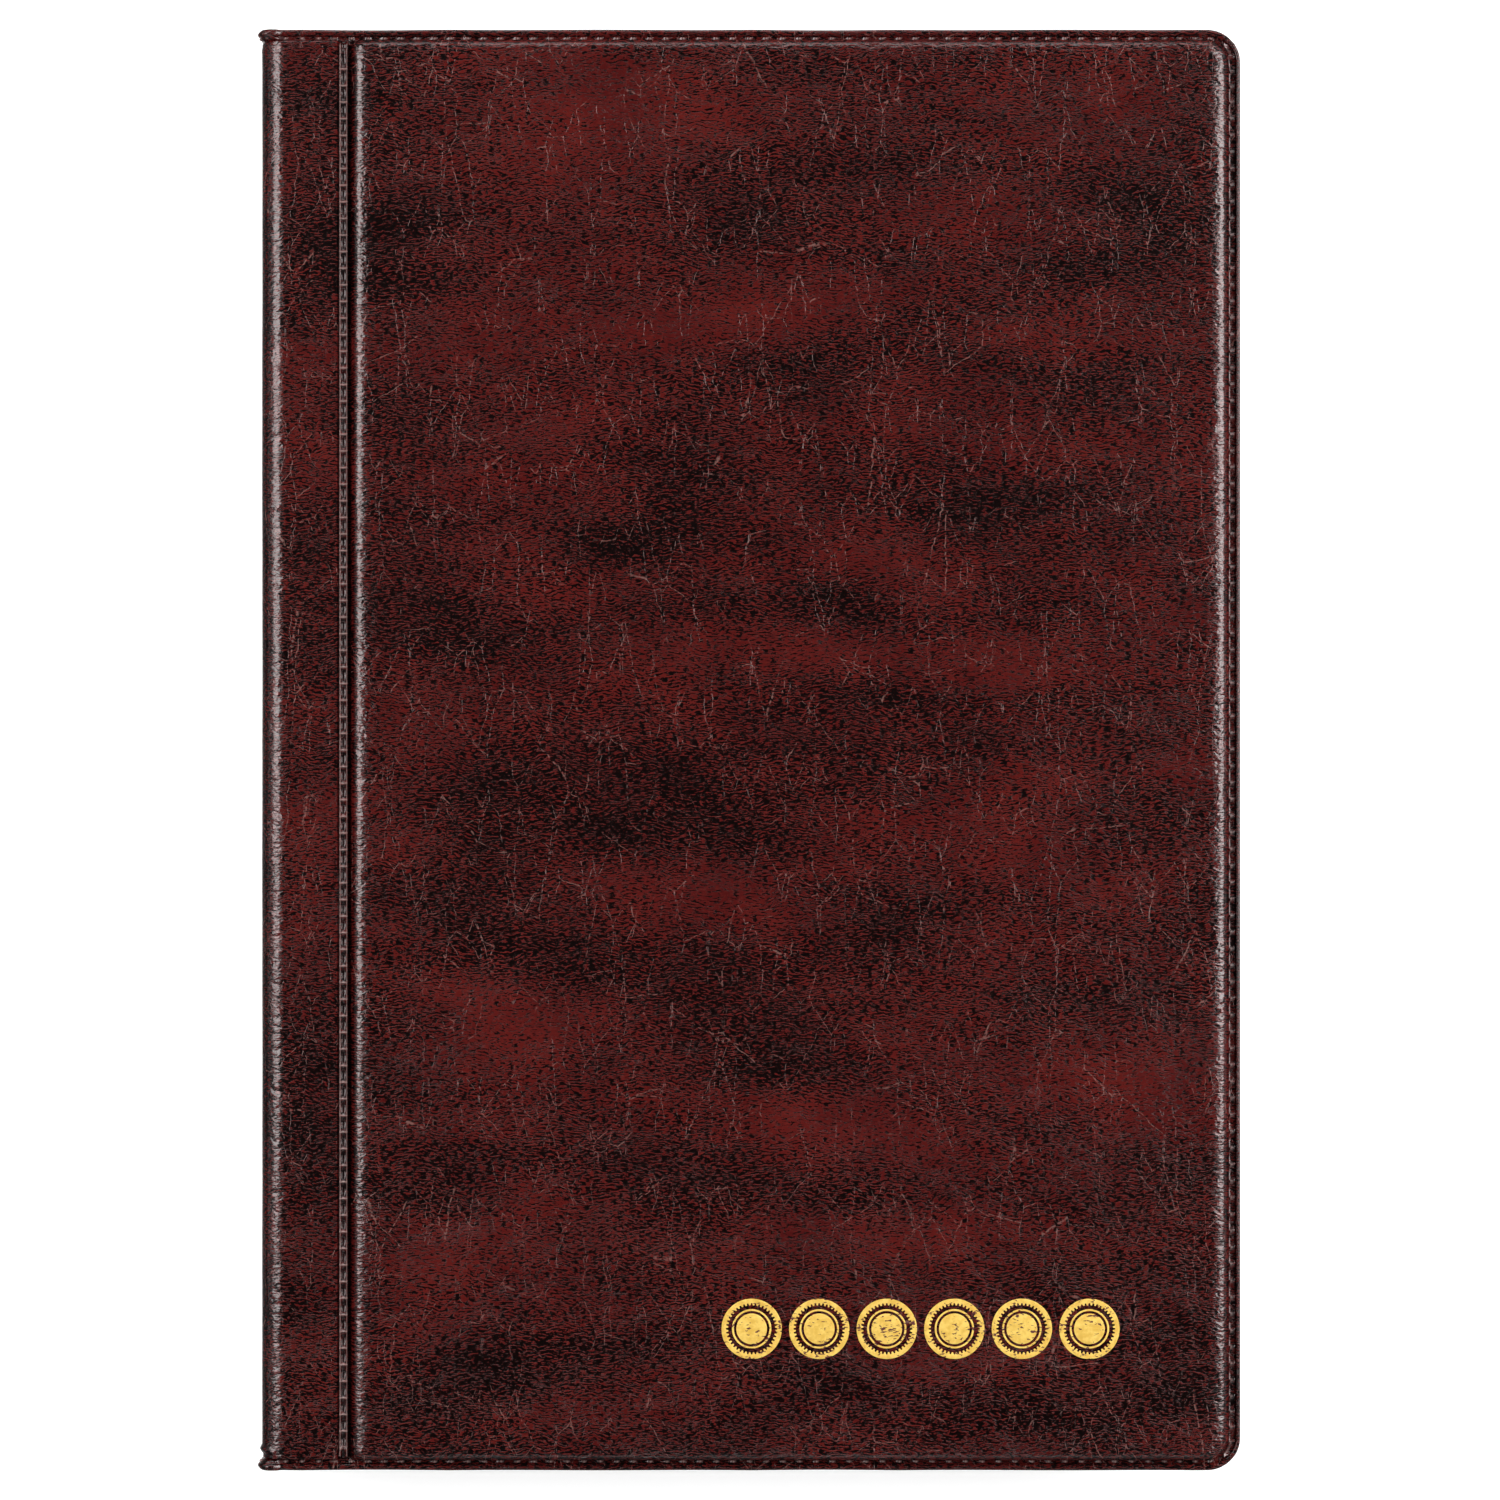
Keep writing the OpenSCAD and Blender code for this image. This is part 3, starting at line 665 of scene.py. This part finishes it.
def build_foil():
    lo, hi = mm_box("foil_stamp")
    r_out = (hi[1] - lo[1]) / 2
    cy = (hi[1] + lo[1]) / 2
    centres = np.linspace(lo[0] + r_out, hi[0] - r_out, 6)
    n = 240
    turn = np.linspace(0, 2 * PI, n, endpoint=False)
    teeth = np.clip(np.cos(turn * 40) * 2.2, -1, 1)
    points, faces = np.zeros((0, 3)), []
    for cx in centres:
        band = ring_strip(cx, cy, r_out - 0.85 + 0.17 * teeth, np.full(n, r_out))
        line = ring_strip(cx, cy, np.full(n, 2.72), np.full(n, 3.0))
        disc = disc_cap(cx, cy, np.full(n, 2.34), [(1.0, 0.004), (0.97, 0.02), (0.6, 0.026), (0.25, 0.028)])
        for part, ring in (band, line, disc):
            count = len(points)
            points = np.vstack([points, part])
            faces += [[v + count for v in f] for f in ring]
    piece = make_piece("front_foil_roundels", points, faces)
    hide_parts("foil_stamp")
    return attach(piece, "front_cover")


# ---------------------------------------------------------------- materials

class Shader:
    """Builds a node material around one Principled shader."""

    def __init__(self, name, **constants):
        self.material = bpy.data.materials.new(name)
        self.material.use_nodes = True
        self.tree = self.material.node_tree
        self.tree.nodes.clear()
        self.out = self.tree.nodes.new("ShaderNodeOutputMaterial")
        self.surface = self.tree.nodes.new("ShaderNodeBsdfPrincipled")
        self.tree.links.new(self.surface.outputs[0], self.out.inputs["Surface"])
        for key, value in constants.items():
            self.set(key.replace("_", " "), value)

    def put(self, socket, value):
        if isinstance(value, bpy.types.NodeSocket):
            self.tree.links.new(value, socket)
        elif isinstance(value, (tuple, list)) and len(value) == 3 and socket.type == "RGBA":
            socket.default_value = (*value, 1)
        else:
            socket.default_value = value

    def set(self, key, value):
        self.put(self.surface.inputs[key], value)

    def make(self, kind, inputs, out=0, **settings):
        node = self.tree.nodes.new("ShaderNode" + kind)
        for key, value in settings.items():
            setattr(node, key, value)
        for key, value in inputs.items():
            self.put(node.inputs[key], value)
        return node.outputs[out]

    def math(self, kind, a, b=0.0):
        return self.make("Math", {0: a, 1: b}, operation=kind)

    def add(self, a, b):
        return self.math("ADD", a, b)

    def times(self, a, b):
        return self.math("MULTIPLY", a, b)

    def vector(self, kind, a, b):
        return self.make("VectorMath", {0: a, 1: b}, operation=kind)

    def field(self, name, out="Vector"):
        return self.make("Attribute", {}, out=out, attribute_name=name)

    def object_mm(self):
        place = self.make("TexCoord", {}, out="Object")
        return self.vector("MULTIPLY", place, (1000, 1000, 1000))

    def stretch(self, place, scale, offset=(0, 0, 0), turn=0):
        inputs = {"Vector": place, "Location": offset, "Rotation": (0, 0, math.radians(turn)), "Scale": scale}
        return self.make("Mapping", inputs)

    def noise(self, place, scale=1.0, detail=2.0, rough=0.5, out=0):
        inputs = {"Vector": place, "Scale": scale, "Detail": detail, "Roughness": rough}
        return self.make("TexNoise", inputs, out=out)

    def wander(self, place, scale, size, detail=2):
        """Smooth sideways shifts of up to half of size."""
        shift = self.vector("SUBTRACT", self.noise(place, scale, detail, out=1), (0.5, 0.5, 0.5))
        return self.vector("MULTIPLY", shift, size)

    def cells(self, place, scale, feature="F1"):
        return self.make("TexVoronoi", {"Vector": place, "Scale": scale}, out="Distance", feature=feature)

    def fit(self, value, a, b, low=0.0, high=1.0, curve="SMOOTHSTEP"):
        inputs = {"Value": value, "From Min": a, "From Max": b, "To Min": low, "To Max": high}
        return self.make("MapRange", inputs, interpolation_type=curve)

    def blend(self, share, a, b):
        node = self.tree.nodes.new("ShaderNodeMix")
        node.data_type = "RGBA"
        self.put(node.inputs[0], share)
        self.put(node.inputs[6], a)
        self.put(node.inputs[7], b)
        return node.outputs[2]

    def bump(self, height, distance, normal=None):
        inputs = {"Height": height, "Distance": distance / 1000, "Strength": 1.0}
        if normal is not None:
            inputs["Normal"] = normal
        return self.make("Bump", inputs)


def leatherette():
    """Marbled burgundy leatherette: black rippled flecks that close up into clouds, pale cracks and a pressed grain."""
    s = Shader("leatherette", IOR=1.5)
    at = s.field("grain_at")
    print_clouds_and_shade = s.field("print_clouds_and_shade", "Fac")
    moved = s.vector("ADD", s.vector("ADD", at, s.wander(at, 0.11, (3.0, 3.0, 0))), s.wander(at, 0.55, (0.5, 0.7, 0)))
    flecks = s.noise(s.stretch(moved, (1.02, 4.7, 1)), 1.0, 2.0, 0.55)
    fine = s.noise(s.stretch(moved, (2.8, 6.5, 1), (17, 5, 0)), 1.0, 1.0, 0.5)
    mixed = s.add(s.times(flecks, 0.8), s.times(fine, 0.2))
    cloud = s.noise(s.stretch(at, (0.030, 0.085, 1), (3.1, 7.4, 0), 6), 1.0, 4.0, 0.6)
    # the clouds also carry the painted shade round the spine's edge
    clouds = s.add(s.times(s.math("SUBTRACT", cloud, 0.5), 0.95), s.times(print_clouds_and_shade, 0.21))
    level = s.math("SUBTRACT", 0.488, s.times(clouds, 0.25))
    lower = s.math("SUBTRACT", level, 0.020)
    upper = s.add(level, 0.026)
    black = s.fit(mixed, lower, upper)
    black_soft = s.fit(clouds, 0.10, 0.50, 0.0, 0.55)
    tone = s.noise(at, 0.07, 3, 0.6)
    red = s.blend(s.fit(tone, 0.35, 0.68), (0.050, 0.0042, 0.0040), (0.074, 0.0066, 0.0056))
    mottle = s.noise(s.stretch(moved, (1.2, 3.0, 1), (41, 9, 0)), 1.0, 2, 0.6)
    red = s.blend(s.fit(mottle, 0.45, 0.75, 0.0, 0.45), red, (0.108, 0.0135, 0.0105))
    red = s.blend(black_soft, red, (0.026, 0.0034, 0.0036))
    ink = s.blend(s.fit(fine, 0.4, 0.7), (0.0012, 0.0005, 0.0005), (0.0055, 0.0014, 0.0015))
    colour = s.blend(black, red, ink)
    # cracks: long thin broken lines, steep across the grain
    bent = s.vector("ADD", at, s.wander(at, 0.35, (1.5, 1.5, 0), 3))
    net = s.cells(s.stretch(bent, (0.24, 0.095, 1), (2, 3, 0), -30), 1.0, "DISTANCE_TO_EDGE")
    net2 = s.cells(s.stretch(bent, (0.19, 0.070, 1), (9, 1, 0), 12), 1.0, "DISTANCE_TO_EDGE")
    line = s.math("MAXIMUM", s.fit(net, 0.0015, 0.0075, 1.0, 0.0), s.fit(net2, 0.0015, 0.0065, 1.0, 0.0))
    broken = s.fit(s.noise(at, 0.12, 3, 0.6), 0.45, 0.54)
    dots = s.fit(s.noise(at, 1.7, 1, 0.5), 0.40, 0.58)
    crack = s.times(s.times(line, broken), dots)
    colour = s.blend(s.times(crack, 0.36), colour, (0.30, 0.15, 0.13))
    pressed = s.field("pressed", "Fac")
    # pale along the welds: weld whitening with painted highlight on the rails, rungs and rim bridges
    colour = s.blend(s.math("MAXIMUM", s.times(pressed, 0.62), 0.0), colour, (0.36, 0.23, 0.215))
    # dark in the ladder's cells: painted shade
    colour = s.blend(s.math("MAXIMUM", s.times(pressed, -1.0), 0.0), colour, (0.006, 0.0012, 0.0012))
    s.set("Base Color", colour)
    # grain: flecks pressed in, finer pebbles, creases
    pebble = s.cells(s.stretch(moved, (1.6, 2.3, 1)), 1.0)
    crease = s.fit(s.cells(s.stretch(moved, (0.55, 0.75, 1), (5, 5, 0)), 1.0, "DISTANCE_TO_EDGE"), 0.0, 0.10)
    height = s.add(s.times(s.math("SUBTRACT", 1.0, black), 0.50), s.add(s.times(mixed, -0.9), s.times(pebble, 0.28)))
    height = s.add(height, s.add(s.times(crack, 0.55), s.times(crease, 0.22)))
    long_noise = s.noise(s.stretch(moved, (0.42, 0.80, 1), (7, 2, 0)), 1.0, 2.0, 0.55)
    ridges = s.math("ABSOLUTE", s.math("SUBTRACT", long_noise, 0.5))
    folds = s.times(s.math("SUBTRACT", 0.25, ridges), s.times(s.field("fold", "Fac"), 3.4))
    slow = s.add(s.noise(s.stretch(at, (0.30, 0.42, 1)), 1.0, 2), folds)
    s.set("Normal", s.bump(height, 0.019, s.bump(slow, 0.11)))
    # the gloss fades toward grazing angles
    turned = s.make("LayerWeight", {"Blend": 0.5}, out=1)
    s.set("Specular IOR Level", s.fit(turned, 0.10, 0.42, 0.62, 0.01))
    s.set("Specular Tint", (1.0, 0.88, 0.87))
    gloss = s.add(0.135, s.times(s.noise(at, 0.5, 2), 0.08))
    s.set("Roughness", s.add(gloss, s.times(black, 0.02)))
    return s.material


def lining_film():
    """Plain dark burgundy film with a fine pin grain."""
    s = Shader("lining_film", Specular_IOR_Level=0.45)
    at = s.field("grain_at")
    pin = s.cells(at, 1.7)
    tone = s.noise(at, 0.05, 3, 0.55)
    fleck = s.noise(at, 1.6, 2, 0.6)
    colour = s.blend(s.fit(tone, 0.3, 0.7), (0.040, 0.0062, 0.0068), (0.060, 0.0085, 0.0090))
    colour = s.blend(s.fit(fleck, 0.55, 0.72, 0, 0.5), colour, (0.022, 0.0036, 0.0040))
    s.set("Base Color", colour)
    s.set("Roughness", s.add(0.42, s.times(tone, 0.14)))
    s.set("Normal", s.bump(s.add(pin, s.times(s.noise(at, 0.3, 2), 0.8)), 0.05))
    return s.material


def foam():
    """Pale open foam."""
    s = Shader("foam", Roughness=0.95)
    at = s.object_mm()
    pores = s.cells(at, 1.4)
    # the pores' darker colour is painted shade in their hollows
    s.set("Base Color", s.blend(s.fit(pores, 0.1, 0.6), (0.30, 0.27, 0.20), (0.66, 0.62, 0.50)))
    s.set("Normal", s.bump(pores, 0.2))
    return s.material


def greyboard():
    """Grey board with long fibres and dark specks."""
    s = Shader("greyboard", Roughness=0.9)
    at = s.object_mm()
    fibre = s.noise(s.stretch(at, (0.7, 3.0, 3.0)), 1.0, 4, 0.65)
    speck = s.fit(s.noise(at, 2.4, 2), 0.62, 0.70)
    colour = s.blend(fibre, (0.16, 0.145, 0.125), (0.30, 0.275, 0.24))
    s.set("Base Color", s.blend(s.times(speck, 0.5), colour, (0.07, 0.06, 0.055)))
    s.set("Normal", s.bump(fibre, 0.06))
    return s.material


def post_metal():
    """Turned metal with rings along its length and dull patches."""
    s = Shader("post_metal", Metallic=1.0)
    at = s.object_mm()
    turned = s.noise(s.stretch(at, (0.3, 0.3, 9.0)), 1.0, 3, 0.6)
    dull = s.noise(at, 0.8, 3, 0.6)
    s.set("Base Color", s.blend(dull, (0.50, 0.48, 0.44), (0.68, 0.66, 0.62)))
    s.set("Roughness", s.fit(dull, 0.3, 0.75, 0.22, 0.42))
    s.set("Normal", s.bump(turned, 0.01))
    return s.material


def spacer_plastic():
    """Dark plastic, slightly clouded."""
    s = Shader("spacer_plastic", Specular_IOR_Level=0.5)
    at = s.object_mm()
    cloud = s.noise(at, 0.25, 3)
    s.set("Base Color", s.blend(cloud, (0.055, 0.050, 0.050), (0.095, 0.088, 0.085)))
    s.set("Roughness", s.fit(s.noise(at, 3.0, 2), 0.3, 0.7, 0.42, 0.58))
    s.set("Normal", s.bump(s.noise(at, 2.2, 3, 0.6), 0.02))
    return s.material


def clear_film(name, alpha, attribute):
    """Clear soft PVC, slightly blue-grey, frosted along its welds and faintly scuffed."""
    s = Shader(name, Specular_IOR_Level=0.55, IOR=1.53)
    at = s.field("grain_at") if attribute else s.object_mm()
    haze = s.noise(at, 0.06, 3, 0.6)
    scuff = s.fit(s.noise(s.stretch(at, (0.25, 2.6, 1), (0, 0, 0), 31), 1.0, 3, 0.7), 0.60, 0.72)
    if attribute:
        weld = s.field("weld", "Fac")
        rib = s.math("SINE", s.times(s.make("SeparateXYZ", {0: at}, out=1), 7.0))
        frost = s.times(weld, s.fit(rib, -0.4, 0.6, 0.55, 1.0))
    else:
        frost = s.times(scuff, 0.3)
    opaque = s.add(s.times(frost, 0.34), s.add(alpha, s.times(scuff, 0.05)))
    s.set("Base Color", s.blend(haze, (0.66, 0.71, 0.74), (0.80, 0.83, 0.84)))
    s.set("Alpha", opaque)
    s.set("Roughness", s.add(s.fit(haze, 0.3, 0.7, 0.07, 0.16), s.times(frost, 0.25)))
    s.set("Normal", s.bump(s.add(s.noise(at, 0.12, 3), s.times(frost, 0.35)), 0.12))
    return s.material


def gold_foil():
    """Hot-stamped foil, taking the grain under it, worn through in small specks."""
    s = Shader("gold_foil")
    at = s.object_mm()
    moved = s.vector("ADD", at, s.wander(at, 0.8, (0.5, 0.7, 0)))
    grain = s.noise(s.stretch(moved, (1.0, 2.6, 1)), 1.0, 2.2, 0.6)
    zone = s.noise(at, 0.22, 2)
    limit = s.fit(zone, 0.35, 0.72, 0.66, 0.54)
    wear_marks_and_painted_light = s.fit(grain, limit, s.add(limit, 0.03), curve="LINEAR")
    pale = s.noise(at, 1.1, 3, 0.6)
    gold = s.blend(s.fit(pale, 0.3, 0.7), (0.70, 0.43, 0.070), (0.86, 0.59, 0.135))
    s.set("Base Color", s.blend(wear_marks_and_painted_light, gold, (0.085, 0.014, 0.012)))
    s.set("Metallic", s.fit(wear_marks_and_painted_light, 0, 1, 0.30, 0.0))
    s.set("Roughness", s.add(0.42, s.times(grain, 0.16)))
    s.set("Normal", s.bump(s.add(grain, s.times(wear_marks_and_painted_light, -0.8)), 0.05))
    return s.material


def flap_film():
    """Plain burgundy film of the inner hinge flaps."""
    s = Shader("flap_film", Specular_IOR_Level=0.45)
    at = s.object_mm()
    s.set("Base Color", s.blend(s.noise(at, 0.4, 3), (0.038, 0.0060, 0.0066), (0.060, 0.0085, 0.0090)))
    s.set("Roughness", s.fit(s.noise(at, 0.9, 2), 0.3, 0.7, 0.40, 0.55))
    s.set("Normal", s.bump(s.cells(at, 1.7), 0.05))
    return s.material


def dress(obj, material):
    obj.data.materials.clear()
    obj.data.materials.append(material)


# ------------------------------------------------------------------- build

COVER_GRID = cover_grid()
LINING_GRID = lining_grid()

leather = leatherette()
film = lining_film()
foam_look = foam()

for side, back in (("front", False), ("back", True)):
    skin = build_skin(f"{side}_cover_skin", back)
    dress(skin, leather)
    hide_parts(f"{side}_skin", "spine_skin", f"{side}_hinge_weld")
    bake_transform(skin)
    lining = build_lining(f"{side}_cover_lining", back)
    dress(lining, film)
    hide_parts(f"{side}_lining", "spine_lining")
    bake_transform(lining)
    pad = build_pad(f"{side}_foam_pad", f"{side}_pad")
    dress(pad, foam_look)
    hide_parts(f"{side}_pad")
    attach(pad, f"{side}_cover")

dress(build_foil(), gold_foil())
board_look = greyboard()
card = build_card()
dress(card, board_look)
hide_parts("spine_card")
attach(card, "binding_block")

pocket_film = clear_film("pocket_film", 0.20, True)
for number in range(1, 13):
    dress(build_leaf(number), pocket_film)

metal_look = post_metal()
plastic_look = spacer_plastic()
edge_look = clear_film("binding_film", 0.55, False)
flap_look = flap_film()
for node, material, slot in (
    ("front_board", board_look, "greyboard"),
    ("back_board", board_look, "greyboard"),
    ("binding_posts", metal_look, "post_metal"),
    ("binding_screws", metal_look, "post_metal"),
    ("leaf_spacers", plastic_look, "spacer_plastic"),
    ("leaf_binding_edges", edge_look, "clear_film"),
    ("front_hinge_flap", flap_look, "lining"),
    ("back_hinge_flap", flap_look, "lining"),
):
    dress(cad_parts[node], material)


# -------------------------------------------------------- floor, light, camera

FLOOR_DROP = 0.14       # the back cover's padding swells this far past the CAD's flat face
FRAME_WIDTH = 0.2295    # width of the picture in metres, in the plane 0.9 mm over the cover's inner face


def build_floor():
    """A white glowing floor, six metres square, in n by n cells."""
    half, n = 3.0, 8
    line = np.linspace(-half, half, n + 1) * 1000
    x, y = np.meshgrid(line, line, indexing="ij")
    points = np.stack([x, y, 0 * x - FLOOR_DROP], 2).reshape(-1, 3)
    faces = [[i * (n + 1) + j, (i + 1) * (n + 1) + j, (i + 1) * (n + 1) + j + 1, i * (n + 1) + j + 1]
             for i in range(n) for j in range(n)]
    floor = make_piece("floor", points, faces)
    s = Shader("floor_white", Roughness=0.9, Specular_IOR_Level=0.1)
    s.set("Base Color", (0.56, 0.56, 0.56))
    s.set("Emission Color", (1, 1, 1))
    s.set("Emission Strength", 0.66)
    dress(floor, s.material)


def area_light(name, place, aim, width, height, power):
    data = bpy.data.lights.new(name, "AREA")
    data.shape = "RECTANGLE"
    data.size, data.size_y = width, height
    data.energy = power
    lamp = bpy.data.objects.new(name, data)
    lamp.location = place
    lamp.rotation_mode = "QUATERNION"
    lamp.rotation_quaternion = (Vector(aim) - Vector(place)).to_track_quat("-Z", "Y")
    bpy.context.scene.collection.objects.link(lamp)


build_floor()
area_light("left_softbox", (-0.70, 0.17, 0.60), (0, 0.03, 0.01), 0.72, 0.46, 8.8)
area_light("right_softbox", (0.70, 0.17, 0.60), (0, 0.03, 0.01), 0.72, 0.46, 11.2)
area_light("head_softbox", (0.0, 0.95, 0.42), (0, 0, 0.01), 1.0, 0.40, 4.2)
area_light("tail_softbox", (0.0, -1.1, 0.40), (0, 0, 0.01), 0.8, 0.30, 0.8)

# a dim sky, darkest overhead, so that the cover seen from above reflects little of it
world = bpy.data.worlds.new("studio")
bpy.context.scene.world = world
world.use_nodes = True
sky = world.node_tree
sky.nodes.clear()
ray = sky.nodes.new("ShaderNodeTexCoord")
parts = sky.nodes.new("ShaderNodeSeparateXYZ")
fade = sky.nodes.new("ShaderNodeMapRange")
shine = sky.nodes.new("ShaderNodeBackground")
end = sky.nodes.new("ShaderNodeOutputWorld")
fade.inputs["From Min"].default_value = 0.25
fade.inputs["From Max"].default_value = 0.9
fade.inputs["To Min"].default_value = 0.38
fade.inputs["To Max"].default_value = 0.01
sky.links.new(ray.outputs["Generated"], parts.inputs[0])
sky.links.new(parts.outputs["Z"], fade.inputs["Value"])
sky.links.new(fade.outputs[0], shine.inputs["Strength"])
sky.links.new(shine.outputs[0], end.inputs["Surface"])

scene = bpy.context.scene
scene.view_settings.view_transform = "Standard"
scene.cycles.transparent_max_bounces = 32
lens = bpy.data.cameras.new("camera")
lens.lens = 100
lens.sensor_width = 36
camera = bpy.data.objects.new("camera", lens)
camera.location = (0, 0, (LINING_Z + 0.9) / 1000 + FRAME_WIDTH * lens.lens / lens.sensor_width)
scene.collection.objects.link(camera)
scene.camera = camera
